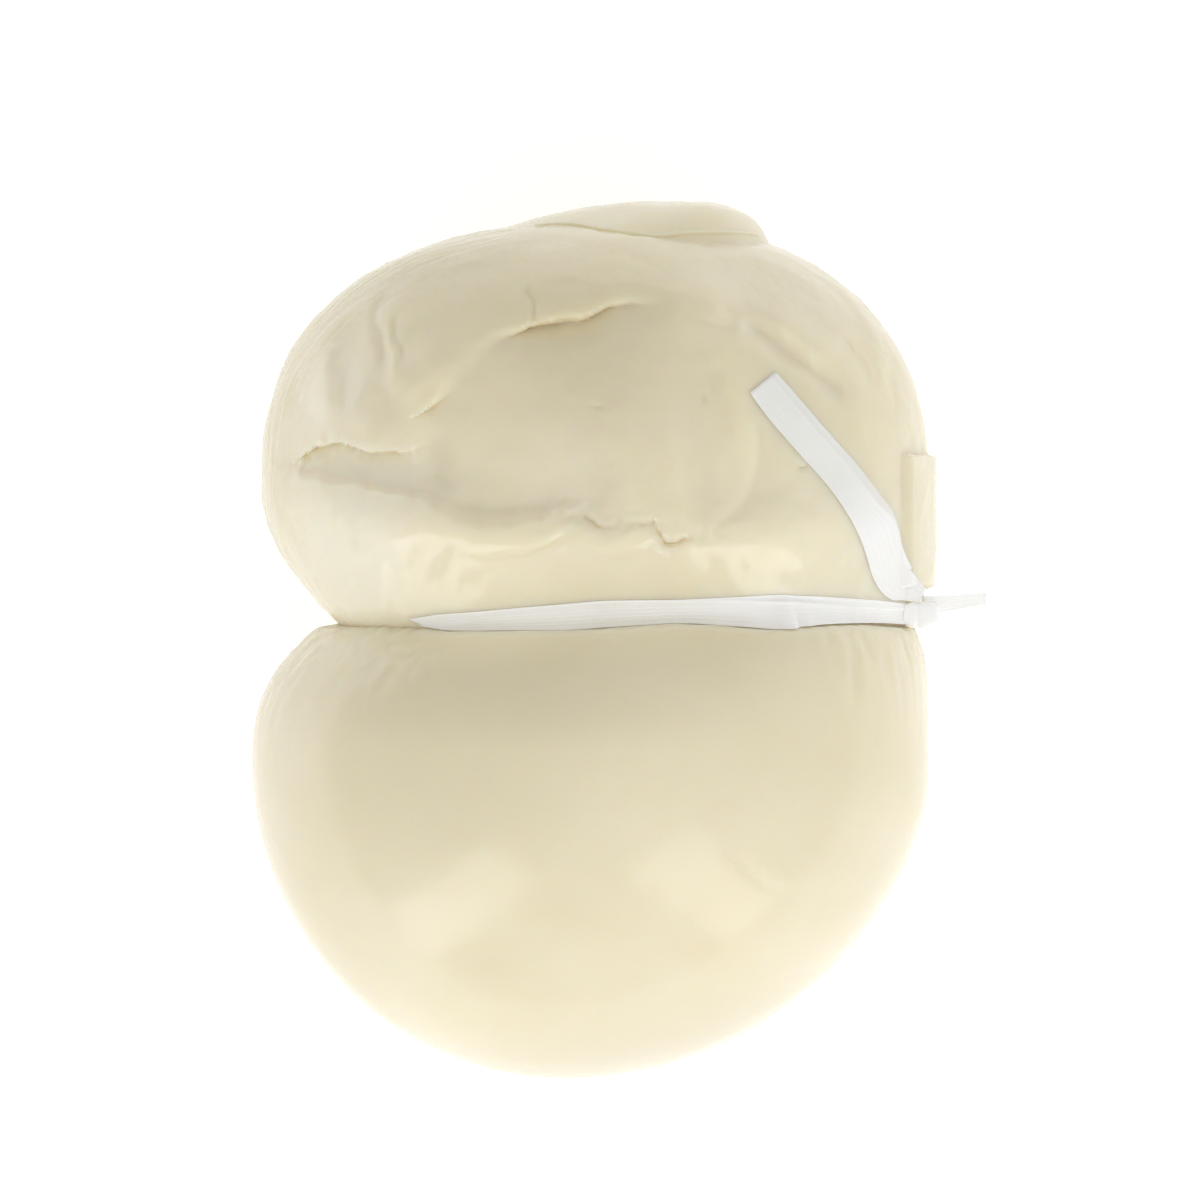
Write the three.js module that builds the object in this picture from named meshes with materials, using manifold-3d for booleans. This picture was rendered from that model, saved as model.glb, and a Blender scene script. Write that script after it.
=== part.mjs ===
// A scamorza: a stretched-curd cheese with a round body and a smaller head, tied at the neck with a flat ribbon.
// It lies on its back. Millimetres: X runs across the cheese, Y from the body to the head, and Z up from the
// surface that it lies on. The origin is on that surface, under the middle of the whole.
import * as THREE from "three";
import { LoftGeometry } from "three/addons/geometries/LoftGeometry.js";
import { mergeVertices } from "three/addons/utils/BufferGeometryUtils.js";
import Module from "manifold-3d";

const { clamp, degToRad, lerp, smoothstep } = THREE.MathUtils;

// Driving dimensions of the cheese

// A lobe is a ball stretched by its reach in each direction, so that it is elliptic across the cheese. Along the
// cheese its outline has the power 2 where it is as round as an ellipse, and a higher power where it is boxier.
const BODY = {
  centre: new THREE.Vector3(-3, -12.7, 32),
  neckSide: 1,
  reach: { left: 38.6, right: 38.2, neck: 22, far: 37.2, front: 33, back: 32.8 },
  neckPower: { left: 2.15, right: 4, front: 2, back: 2.1 },
  farPower: { left: 1.98, right: 1.98, front: 2, back: 2 },
  lean: -2.7, // how far the far end stands to the side
  segments: 42,
  rings: 26,
};
const HEAD = {
  centre: new THREE.Vector3(-2.3, 18, 29.5),
  neckSide: -1,
  reach: { left: 38.3, right: 37.4, neck: 24, far: 29.4, front: 29, back: 30.2 },
  neckPower: { left: 2.05, right: 5, front: 3.5, back: 2.2 },
  farPower: { left: 2.35, right: 2.42, front: 2.3, back: 2.4 },
  lean: 0,
  segments: 78,
  rings: 50,
};
// A flap of curd folded over the top of the head, behind it
const FLAP = {
  centre: new THREE.Vector3(5, 40, 29),
  neckSide: -1,
  reach: { left: 28, right: 12.5, neck: 8, far: 9.8, front: 15, back: 14 },
  neckPower: { left: 2, right: 2, front: 2, back: 2 },
  farPower: { left: 1.7, right: 3, front: 2, back: 2.2 },
  lean: 0,
  segments: 26,
  rings: 14,
};
const NECK_BLEND = 0.3; // how soon an outline goes from one power to the other, as a share of the way to the neck
const FRONT_CROWDING = 1.55; // over 1, the head's rings stand closer together round the hollow

// The hollow in the front of the head, where the curd was closed. Its outline runs clockwise, from the slot at the
// left under the torn lip, over the left lobe and the upper rim, down the soft right side and back along the lower
// lip. Each point gives X, Y, the width over which the skin rolls into the hollow, the height of the lip outside
// it and the depth inside.
const HOLLOW = [
  [-36.2, 19.8, 2.5, 0.2, 0.5],
  [-31.1, 21.1, 2.5, 1, 1.2],
  [-25.1, 20.7, 2.5, 0.9, 1.4],
  [-22.6, 24.2, 3, 1, 1.4],
  [-18, 27.9, 4, 1.2, 1.5],
  [-13.7, 32.8, 4, 1.2, 1.5],
  [-9.9, 35.5, 3.5, 0.8, 1.3],
  [-1.4, 36.9, 3.5, 0.5, 1.2],
  [9.3, 35.3, 6, 0.4, 1],
  [16.1, 24.3, 8, 0.3, 0.8],
  [14.4, 14.8, 5, 0.4, 0.9],
  [7.2, 10.4, 3.5, 0.6, 1],
  [3.4, 13.3, 3.5, 0.7, 0.9],
  [-1.6, 12.4, 3.5, 0.7, 1],
  [-6.6, 14.9, 4, 0.9, 1.2],
  [-12.6, 12.7, 4.5, 1.2, 1.4],
  [-19.1, 13.5, 4.5, 1.4, 1.6],
  [-26, 16.4, 4, 1.4, 1.6],
  [-32.2, 18.1, 3, 1, 1.2],
];
const HOLLOW_SAMPLES = 100; // points round the outline
const LIP_WIDTH = 4.5; // from the outline to the crest of the lip
const OUTLINE_BLUR = { distance: 0.15, power: 3 }; // how the sizes of the outline's points mix away from it
// The relief starts and is whole at these shares of the way to the front.
const FRONT_FADE = { none: 0.05, full: 0.3 };

// A pad of curd pressed flat against the right side of the head
const PAD = { low: 6, high: 20.6, inner: 32.4, back: 22, proud: 1, edge: 1 };

// Driving dimensions of the ribbon

const CLEARANCE = 0.35; // between the ribbon and the cheese
const RIBBON = { thickness: 0.6, width: 3.5 };
// The neck is the crease between the lobes. The ribbon stands out of it by the lift of each side, and is buried
// where that is negative.
const NECK = { x: 1.3, y: 2.8, z: 32, search: 4, step: 0.25, steps: 80 };
const LIFT = { right: 1.2, front: 1.7, left: -1.5, back: 0.5 };
const DIP = 1.3; // the ribbon runs lower on the left by this much
const KNOT = { angle: 10, out: 1.2, halfAlong: 1.9, halfWide: 2, halfUp: 1.8, power: 3 };
// The long end lies over the head along a middle line in X and Y, a little above the skin. It is stiff, so that it
// follows only part of the skin's tilt.
const LONG_END = {
  line: [[33.2, 3.6], [31.2, 6.6], [28.6, 12.4], [24.9, 19.3], [20.8, 24], [16.3, 28.9]],
  width: 4,
  lift: 0.75,
  stiffness: 0.5,
  steps: 26,
};
const SHORT_END = { tip: 41.6, width: 1.8, thickness: 0.7, rise: 0.5, steps: 5 };

const CHEESE_COLOUR = 0xe6dcbe;
const RIBBON_COLOUR = 0xf0efea;

const FAR_OUT = 80; // a distance that is outside the cheese in every direction
const HALVINGS = 40; // steps of a search for the skin

// Solids

const wasm = await Module();
wasm.setup();

function solidOf(geometry) {
  const bare = new THREE.BufferGeometry().copy(geometry);
  bare.deleteAttribute("normal");
  bare.deleteAttribute("uv");
  const merged = mergeVertices(bare, 1e-4);
  const vertProperties = merged.getAttribute("position").array;
  const triVerts = new Uint32Array(merged.getIndex().array);
  return new wasm.Manifold(new wasm.Mesh({ numProp: 3, vertProperties, triVerts }));
}

function geometryOf(solid) {
  const mesh = solid.getMesh();
  const geometry = new THREE.BufferGeometry();
  geometry.setAttribute("position", new THREE.BufferAttribute(mesh.vertProperties, 3));
  geometry.setIndex(new THREE.BufferAttribute(mesh.triVerts, 1));
  geometry.computeVertexNormals();
  return geometry;
}

// Lobes

// The power of a lobe's outline in a direction of its own unit ball
function powerTowards(lobe, { x, y, z }) {
  const sideways = x * x;
  const upright = z * z + Number.EPSILON;
  const [neck, far] = [lobe.neckPower, lobe.farPower].map(
    ({ left, right, front, back }) =>
      (sideways * (x < 0 ? left : right) + upright * (z < 0 ? back : front)) / (sideways + upright),
  );
  return lerp(far, neck, smoothstep(y * lobe.neckSide, -NECK_BLEND, NECK_BLEND));
}

// How far out of the unit ball a point is, for an outline of the given power along Y
function outlineNorm(power, { x, y, z }) {
  return (Math.hypot(x, z) ** power + Math.abs(y) ** power) ** (1 / power);
}

function reachTowards(lobe, { x, y, z }) {
  const { left, right, neck, far, front, back } = lobe.reach;
  return new THREE.Vector3(x < 0 ? left : right, y * lobe.neckSide > 0 ? neck : far, z < 0 ? back : front);
}

// How far the lean moves a point sideways, from its place along the unit ball
function leanAt(lobe, y) {
  return lobe.lean * Math.max(0, -y * lobe.neckSide) ** 2;
}

// The point of a lobe's skin in a direction of its unit ball
function lobePoint(lobe, direction) {
  const ball = direction.clone().divideScalar(outlineNorm(powerTowards(lobe, direction), direction));
  const point = ball.clone().multiply(reachTowards(lobe, ball)).add(lobe.centre);
  point.x += leanAt(lobe, ball.y);
  return point;
}

function isInside(lobe, point) {
  const ball = point.clone().sub(lobe.centre);
  ball.divide(reachTowards(lobe, ball));
  ball.x -= leanAt(lobe, ball.y) / lobe.reach.left;
  const direction = ball.clone().normalize();
  return outlineNorm(powerTowards(lobe, direction), ball) < 1;
}

// The distance along a ray to the plain lobes' skin, for a ray that leaves them after the start
function skinDistance(origin, direction, start = 0) {
  let [inner, outer] = [start, FAR_OUT];
  const probe = new THREE.Vector3();
  for (let i = 0; i < HALVINGS; i++) {
    const middle = (inner + outer) / 2;
    probe.copy(origin).addScaledVector(direction, middle);
    if (isInside(BODY, probe) || isInside(HEAD, probe)) inner = middle;
    else outer = middle;
  }
  return inner;
}

// Relief of the head's front

// A smooth closed line through the hollow's points, which carries their other three sizes along
function hollowOutline() {
  const closed = (pick) => new THREE.CatmullRomCurve3(HOLLOW.map(pick), true, "catmullrom", 0.5);
  const places = closed(([x, y]) => new THREE.Vector3(x, y, 0)).getPoints(HOLLOW_SAMPLES);
  const sizes = closed(([, , roll, lip, depth]) => new THREE.Vector3(roll, lip, depth)).getPoints(HOLLOW_SAMPLES);
  return places.map((place, i) => ({ place, size: sizes[i] }));
}
const OUTLINE = hollowOutline();

function isInHollow(x, y) {
  let inside = false;
  for (let i = 1; i < OUTLINE.length; i++) {
    const [one, other] = [OUTLINE[i - 1].place, OUTLINE[i].place];
    const crossing = one.x + ((other.x - one.x) * (y - one.y)) / (other.y - one.y);
    if (one.y > y !== other.y > y && x < crossing) inside = !inside;
  }
  return inside;
}

// The distance from the outline, and its sizes there: the nearest ones count most
function nearOutline(x, y) {
  const spot = new THREE.Vector3(x, y, 0);
  const closest = new THREE.Vector3();
  const size = new THREE.Vector3();
  let distance = Infinity;
  let weights = 0;
  for (let i = 1; i < OUTLINE.length; i++) {
    const segment = new THREE.Line3(OUTLINE[i - 1].place, OUTLINE[i].place);
    segment.closestPointToPoint(spot, true, closest);
    const away = closest.distanceTo(spot);
    const weight = segment.distance() / (away + OUTLINE_BLUR.distance) ** OUTLINE_BLUR.power;
    distance = Math.min(distance, away);
    size.addScaledVector(OUTLINE[i].size, weight);
    weights += weight;
  }
  size.divideScalar(weights);
  return { distance, roll: size.x, lip: size.y, depth: size.z };
}

function frontRelief(x, y) {
  const { distance, roll, lip, depth } = nearOutline(x, y);
  if (isInHollow(x, y)) return -depth;
  const out = distance / LIP_WIDTH;
  return lip * out * Math.exp(1 - out) - depth * (1 - smoothstep(distance, 0, roll));
}

function padHeight({ x, y, z }) {
  const { low, high, inner, back, edge, proud } = PAD;
  const within = smoothstep(y, low - edge, low) * (1 - smoothstep(y, high, high + edge));
  return proud * within * smoothstep(x, inner - edge, inner) * smoothstep(z, back - edge, back + edge);
}

function shapeHead(point, direction) {
  point.x += padHeight(point);
  point.z += frontRelief(point.x, point.y) * smoothstep(direction.z, FRONT_FADE.none, FRONT_FADE.full);
}

// The cheese

// Moves a direction towards the front, +Z, so that the rings there stand closer together
function crowdToFront(direction) {
  const polar = Math.acos(clamp(direction.z, -1, 1));
  const crowded = Math.PI * (polar / Math.PI) ** FRONT_CROWDING;
  const azimuth = Math.atan2(direction.y, direction.x);
  return direction.set(
    Math.sin(crowded) * Math.cos(azimuth),
    Math.sin(crowded) * Math.sin(azimuth),
    Math.cos(crowded),
  );
}

function lobeSolid(lobe, adjust = () => {}) {
  const geometry = new THREE.SphereGeometry(1, lobe.segments, lobe.rings).rotateX(Math.PI / 2);
  const position = geometry.getAttribute("position");
  const direction = new THREE.Vector3();
  for (let i = 0; i < position.count; i++) {
    direction.fromBufferAttribute(position, i).normalize();
    if (lobe === HEAD) crowdToFront(direction);
    const point = lobePoint(lobe, direction);
    adjust(point, direction);
    position.setXYZ(i, point.x, point.y, point.z);
  }
  return solidOf(geometry);
}

function floorSolid() {
  const size = 2 * FAR_OUT;
  return solidOf(new THREE.BoxGeometry(size, size, size).translate(0, 0, -size / 2));
}

// The ribbon

// The direction out of the neck at an angle from +X towards the front
function outwards(angle) {
  return new THREE.Vector3(Math.cos(angle), 0, Math.sin(angle));
}

function neckRadius(angle) {
  let least = Infinity;
  for (let y = NECK.y - NECK.search; y <= NECK.y + NECK.search; y += NECK.step) {
    const radius = skinDistance(new THREE.Vector3(NECK.x, y, NECK.z), outwards(angle));
    least = Math.min(least, radius);
  }
  const { x, z } = outwards(angle);
  return least + x * x * (x < 0 ? LIFT.left : LIFT.right) + z * z * (z < 0 ? LIFT.back : LIFT.front);
}

// A point on the ribbon's loop, at a distance out from its inner face and along its width
function loopPoint(angle, radius, out, across) {
  const outward = outwards(angle);
  const y = NECK.y - DIP * Math.max(0, -outward.x) ** 2 + across;
  return new THREE.Vector3(NECK.x, y, NECK.z).addScaledVector(outward, radius + out);
}

function loopSolid(grow) {
  const half = RIBBON.width / 2 + grow;
  const sections = [];
  for (let i = 0; i <= NECK.steps; i++) {
    const angle = ((i % NECK.steps) / NECK.steps) * 2 * Math.PI;
    const radius = neckRadius(angle);
    const corner = (out, across) => loopPoint(angle, radius, out, across);
    const outer = RIBBON.thickness + grow;
    sections.push([corner(-grow, half), corner(-grow, -half), corner(outer, -half), corner(outer, half)]);
  }
  return solidOf(new LoftGeometry(sections));
}

function knotCentre() {
  const angle = degToRad(KNOT.angle);
  return loopPoint(angle, neckRadius(angle), KNOT.out, 0);
}

function knotSolid(grow) {
  const { halfAlong, halfWide, halfUp, power } = KNOT;
  const [along, wide, up] = [halfAlong, halfWide, halfUp].map((half) => half + grow);
  const round = { left: power, right: power, front: power, back: power };
  return lobeSolid({
    centre: knotCentre(),
    neckSide: 1,
    reach: { left: along, right: along, neck: wide, far: wide, front: up, back: up },
    neckPower: round,
    farPower: round,
    lean: 0,
    segments: 18,
    rings: 12,
  });
}

// A flat strip along a line of points, lying to the left and right of it along the given sideways directions
function stripSolid(centres, sideways, width, thickness, grow) {
  const half = width / 2 + grow;
  const last = centres.length - 1;
  const sections = centres.map((centre, i) => {
    const run = centres[Math.min(i + 1, last)].clone().sub(centres[Math.max(i - 1, 0)]).normalize();
    const up = new THREE.Vector3().crossVectors(run, sideways[i]).normalize();
    const overrun = i === 0 ? -grow : i === last ? grow : 0;
    const corner = (across, out) =>
      centre
        .clone()
        .addScaledVector(run, overrun)
        .addScaledVector(sideways[i], across)
        .addScaledVector(up, out);
    const top = thickness + grow;
    return [corner(-half, -grow), corner(half, -grow), corner(half, top), corner(-half, top)];
  });
  return solidOf(new LoftGeometry(sections, { capStart: true, capEnd: true }));
}

function headHeight(x, y) {
  const plain = skinDistance(new THREE.Vector3(x, y, 0), new THREE.Vector3(0, 0, 1), HEAD.centre.z);
  return plain + frontRelief(x, y);
}

function longEndSolid(grow) {
  const line = LONG_END.line.map(([x, y]) => new THREE.Vector3(x, y, 0));
  const spots = new THREE.CatmullRomCurve3(line).getSpacedPoints(LONG_END.steps);
  const lowest = knotCentre().z;
  const centres = [];
  const sideways = [];
  spots.forEach((spot, i) => {
    const ahead = spots[Math.min(i + 1, LONG_END.steps)];
    const behind = spots[Math.max(i - 1, 0)];
    const run = ahead.clone().sub(behind).normalize();
    const across = new THREE.Vector3(-run.y, run.x, 0);
    const [outer, inner] = [-0.5, 0.5].map((share) => {
      const edge = spot.clone().addScaledVector(across, share * LONG_END.width);
      return edge.setZ(Math.max(lowest, headHeight(edge.x, edge.y) + LONG_END.lift));
    });
    outer.z = lerp(outer.z, Math.max(outer.z, inner.z), LONG_END.stiffness);
    centres.push(outer.clone().lerp(inner, 0.5));
    sideways.push(inner.sub(outer).normalize());
  });
  return stripSolid(centres, sideways, LONG_END.width, RIBBON.thickness, grow);
}

function shortEndSolid(grow) {
  const start = knotCentre();
  const centres = [];
  const sideways = [];
  for (let i = 0; i <= SHORT_END.steps; i++) {
    const share = i / SHORT_END.steps;
    const reach = (SHORT_END.tip - start.x) * share;
    centres.push(start.clone().add(new THREE.Vector3(reach, SHORT_END.rise * share, 0)));
    sideways.push(new THREE.Vector3(0, 1, 0));
  }
  return stripSolid(centres, sideways, SHORT_END.width, SHORT_END.thickness, grow);
}

function ribbonSolid(grow = 0) {
  return loopSolid(grow).add(knotSolid(grow)).add(longEndSolid(grow)).add(shortEndSolid(grow));
}

// The ribbon presses into the cheese, which keeps clear of it all round.
function cheeseSolid() {
  return lobeSolid(BODY)
    .add(lobeSolid(HEAD, shapeHead))
    .add(lobeSolid(FLAP))
    .subtract(floorSolid())
    .subtract(ribbonSolid(CLEARANCE));
}

// Assembly

function namedMesh(name, solid, color, roughness) {
  const material = new THREE.MeshStandardMaterial({ color, roughness, metalness: 0 });
  const mesh = new THREE.Mesh(geometryOf(solid), material);
  mesh.name = name;
  return mesh;
}

const scamorza = new THREE.Group();
scamorza.name = "scamorza";
scamorza.add(namedMesh("cheese", cheeseSolid(), CHEESE_COLOUR, 0.4));
scamorza.add(namedMesh("ribbon", ribbonSolid(), RIBBON_COLOUR, 0.35));

export default scamorza;
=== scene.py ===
# The looks of a tied scamorza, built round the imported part.
# Shapes are worked out in millimetres in the part's own frame: X across the cheese, Y from the body to the
# head, Z up from the surface that it lies on. Meshes are in metres.
import math

import bpy
import numpy as np
from mathutils import Matrix, Vector, noise
from mathutils.bvhtree import BVHTree


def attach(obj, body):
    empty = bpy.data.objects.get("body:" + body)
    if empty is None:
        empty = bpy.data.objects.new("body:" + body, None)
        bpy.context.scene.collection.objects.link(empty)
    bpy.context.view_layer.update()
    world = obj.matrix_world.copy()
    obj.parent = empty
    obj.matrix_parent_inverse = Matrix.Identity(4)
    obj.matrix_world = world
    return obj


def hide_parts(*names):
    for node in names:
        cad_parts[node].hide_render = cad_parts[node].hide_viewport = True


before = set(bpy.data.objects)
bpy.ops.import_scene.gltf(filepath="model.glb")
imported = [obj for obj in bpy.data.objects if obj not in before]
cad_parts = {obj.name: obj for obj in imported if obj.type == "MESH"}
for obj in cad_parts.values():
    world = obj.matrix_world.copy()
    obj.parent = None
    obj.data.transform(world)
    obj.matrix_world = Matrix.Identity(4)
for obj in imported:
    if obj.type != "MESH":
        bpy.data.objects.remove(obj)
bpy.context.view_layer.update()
MM = 0.001
TINY = 1e-12  # keeps a divisor off zero
CHUNK = 4000  # spots worked on at a time
FAR_OUT = 90  # rays towards the skin start this far out

# Driving values of the cheese

# The lobes have the centres and reaches of the solids' lobes. Each is a ball stretched by its reach in each
# direction, with an outline of the given power along the cheese, which is higher by the corner at the left
# front. The neck side is the sign of Y towards the neck, and the far end leans to the side. The grid gives
# the faces across and along the front, the rings of the back, and how closely the faces stand at the front.
BODY = {
    "centre": (-3, -12.7, 32),
    "neck_side": 1,
    "reach": {"left": 38.6, "right": 38.2, "neck": 22, "far": 37.2, "front": 33, "back": 32.8},
    "neck_power": {"left": 2.15, "right": 4, "front": 1.75, "back": 2.1},
    "far_power": {"left": 1.98, "right": 1.98, "front": 2, "back": 2},
    "corner": 0,
    "lean": -2.7,
    "grid": {"across": 170, "along": 130, "back": 16, "crowding": 1},
}
HEAD = {
    "centre": (-2.3, 18, 29.5),
    "neck_side": -1,
    "reach": {"left": 38.3, "right": 37.4, "neck": 24, "far": 29.4, "front": 29, "back": 30.2},
    "neck_power": {"left": 2.05, "right": 5, "front": 2.5, "back": 2.2},
    "far_power": {"left": 2.35, "right": 2.42, "front": 2.3, "back": 2.4},
    "corner": 0.8,
    "lean": 0,
    "grid": {"across": 300, "along": 220, "back": 12, "crowding": 1.15},
}
FLAP = {
    "centre": (5, 40, 29),
    "neck_side": -1,
    "reach": {"left": 28, "right": 12.5, "neck": 8, "far": 9.8, "front": 15, "back": 14},
    "neck_power": {"left": 2, "right": 2, "front": 2, "back": 2},
    "far_power": {"left": 1.7, "right": 3, "front": 2, "back": 2.2},
    "corner": 0,
    "lean": 0,
    "grid": {"across": 70, "along": 40, "back": 10, "crowding": 1},
}
NECK_BLEND = 0.3  # how soon an outline goes from one power to the other, as a share of the way to the neck

# Folds in the front of the head, where the curd was closed. Each is an edge that stands over the skin beside
# it, with the higher side to the left of its run. Each point gives X, Y, the height of the edge over the
# plain skin, the depth of the skin under it, the width over which the edge rolls down, and how far the roll
# hangs over, as a share of its width. The edge and the dip die away over the two reaches.
FOLDS = {
    "upper_edge": {
        "rise_reach": 5,
        "dip_reach": 10,
        "points": [
            (-24.6, 24.1, 0, 0.1, 0.8, 0.3),
            (-22, 25.6, 0.2, 0.8, 0.9, 0.5),
            (-20.3, 26.6, 0.1, 1, 1.4, 0.3),
            (-17.4, 28.8, 0, 0.6, 2.8, 0),
            (-14.6, 31.4, 0, 0.6, 3.2, 0),
            (-12.3, 33.6, 0, 1, 2.6, 0.05),
            (-10.3, 35.1, 0, 2, 1.3, 0.4),
            (-7.5, 35.5, 0, 2.6, 1.5, 0.25),
            (-4.9, 35.6, 0.1, 2.5, 1.7, 0.2),
            (-2.6, 36.4, 0.1, 2.2, 1.7, 0.3),
            (-1, 37.2, 0.1, 1.7, 1.9, 0.3),
            (1.5, 37.4, 0.1, 1.1, 2.3, 0.2),
            (4.7, 36.9, 0.1, 0.6, 2.8, 0),
            (8.4, 35.6, 0.1, 0.2, 3, 0),
        ],
    },
    "torn_lip": {
        "rise_reach": 3.5,
        "dip_reach": 5,
        "points": [
            (-36.6, 19.6, 0.2, 0.2, 0.8, 0.3),
            (-35.1, 20.9, 0.7, 0.8, 0.9, 0.4),
            (-33.4, 21.8, 0.9, 1.1, 1.1, 0.45),
            (-31.6, 22.2, 0.9, 1.2, 1.1, 0.45),
            (-29.9, 21.8, 0.8, 1.2, 1, 0.45),
            (-28.2, 20.9, 0.8, 1.2, 1.1, 0.45),
            (-26.5, 21.1, 0.7, 1.2, 1, 0.45),
            (-24.8, 20.9, 0.5, 1, 0.8, 0.4),
            (-23, 21.4, 0.2, 0.5, 0.8, 0.4),
        ],
    },
    "lower_fold": {
        "rise_reach": 7,
        "dip_reach": 6,
        "points": [
            (-3, 16.4, 0.1, 0.1, 1.8, 0),
            (-6, 16.2, 0.3, 0.3, 2.2, 0),
            (-9.5, 15.6, 0.6, 0.4, 2.6, 0),
            (-12.5, 15, 0.8, 0.6, 3, 0),
            (-15.5, 15, 0.9, 0.6, 3.2, 0),
            (-18.5, 15.7, 0.8, 0.6, 2.6, 0),
            (-21.5, 16.6, 0.7, 0.6, 1.6, 0),
            (-25.2, 17, 0.8, 0.7, 0.9, 0),
            (-29.5, 18, 0.8, 0.6, 1.1, 0),
            (-34, 18.9, 0.7, 0.5, 1.4, 0),
            (-38.5, 20, 0.4, 0.2, 1.4, 0),
            (-40.5, 20.5, 0.2, 0, 1.4, 0),
        ],
    },
    "lower_lip": {
        "rise_reach": 4,
        "dip_reach": 3,
        "points": [
            (12.1, 12.9, 0.1, 0.1, 2, 0),
            (9.3, 11.8, 0.2, 0.1, 1.8, 0),
            (7.6, 11.4, 0.3, 0.2, 1.4, 0.2),
            (5.6, 10.8, 0.3, 0.2, 1.2, 0.2),
            (4.1, 12.2, 0.3, 0.2, 1.2, 0.2),
            (2.7, 13, 0.2, 0.2, 1.6, 0.1),
            (0.2, 12.6, 0.2, 0.2, 1.6, 0.1),
            (-2.1, 12.4, 0.3, 0.2, 1.4, 0.2),
            (-3.8, 13.5, 0.3, 0.2, 1.6, 0.1),
            (-6.1, 14.5, 0.2, 0.1, 2, 0),
            (-8.4, 14.2, 0.1, 0, 2, 0),
        ],
    },
    "plug_edge": {
        "rise_reach": 5,
        "dip_reach": 4,
        "points": [
            (12.1, 12.9, 0.1, 0.1, 1.5, 0),
            (14.4, 15.2, 0.3, 0.3, 1.8, 0),
            (15.7, 18, 0.4, 0.4, 1.8, 0),
            (16.3, 21.4, 0.4, 0.4, 1.8, 0),
            (16.1, 23.7, 0.3, 0.3, 1.8, 0),
            (15.2, 26.5, 0.1, 0.1, 1.5, 0),
        ],
    },
    "tongue": {
        "rise_reach": 2,
        "dip_reach": 2,
        "points": [
            (-17.8, 9.9, 0.1, 0.1, 1.2, 0),
            (-15.6, 9, 0.2, 0.2, 1.2, 0.1),
            (-12.3, 9, 0.3, 0.3, 1.2, 0.1),
            (-8.4, 10.2, 0.3, 0.3, 1, 0.2),
            (-4.9, 12.3, 0.1, 0.1, 0.9, 0.1),
        ],
    },
    "small_tongue": {
        "rise_reach": 1.6,
        "dip_reach": 1.6,
        "points": [
            (-3.5, 9.9, 0.1, 0.1, 0.8, 0.1),
            (-1, 9.1, 0.15, 0.15, 1, 0.1),
            (2, 9.6, 0.15, 0.15, 1, 0.1),
            (4.1, 10.7, 0.1, 0.1, 0.8, 0.1),
        ],
    },
    "flap_lip": {
        "rise_reach": 2,
        "dip_reach": 1,
        "points": [
            (18.5, 44.9, 0.2, 0, 0.7, 0.3),
            (14.6, 45.5, 0.5, 0, 0.7, 0.3),
            (6.9, 45.6, 0.5, 0, 0.7, 0.3),
            (0.2, 45.8, 0.5, 0, 0.7, 0.3),
            (-4.6, 46.8, 0.4, 0, 0.7, 0.3),
            (-9.9, 47.6, 0.2, 0, 0.7, 0.3),
        ],
    },
}
FOLD_END = 0.12  # a fold grows from nothing over this share of its run, at both ends
FULL_FOLD = 0.5  # an edge of this height hangs over by its whole share
LINE_STEPS = 8  # straight steps between two points of a line
LINE_BLUR = 0.15  # added to the distance when the sizes of a line's points are mixed
# How far and how often an edge wanders off its line, and where the waves for X and for Y start
RAGGED = {"reach": 0.35, "length": 2.2, "starts": (10, 20)}
STEEPEST = 2  # skin that rises faster than this counts as no steeper
# The relief starts and is whole at these shares of the way to the front.
FRONT_FADE = {"none": 0.05, "full": 0.3}

# Crumbs of curd on the lips, which die away over the reach from their lines
CRUMBS = {"folds": ("torn_lip", "lower_lip"), "height": 0.3, "length": 0.9, "reach": 1.4}

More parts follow.
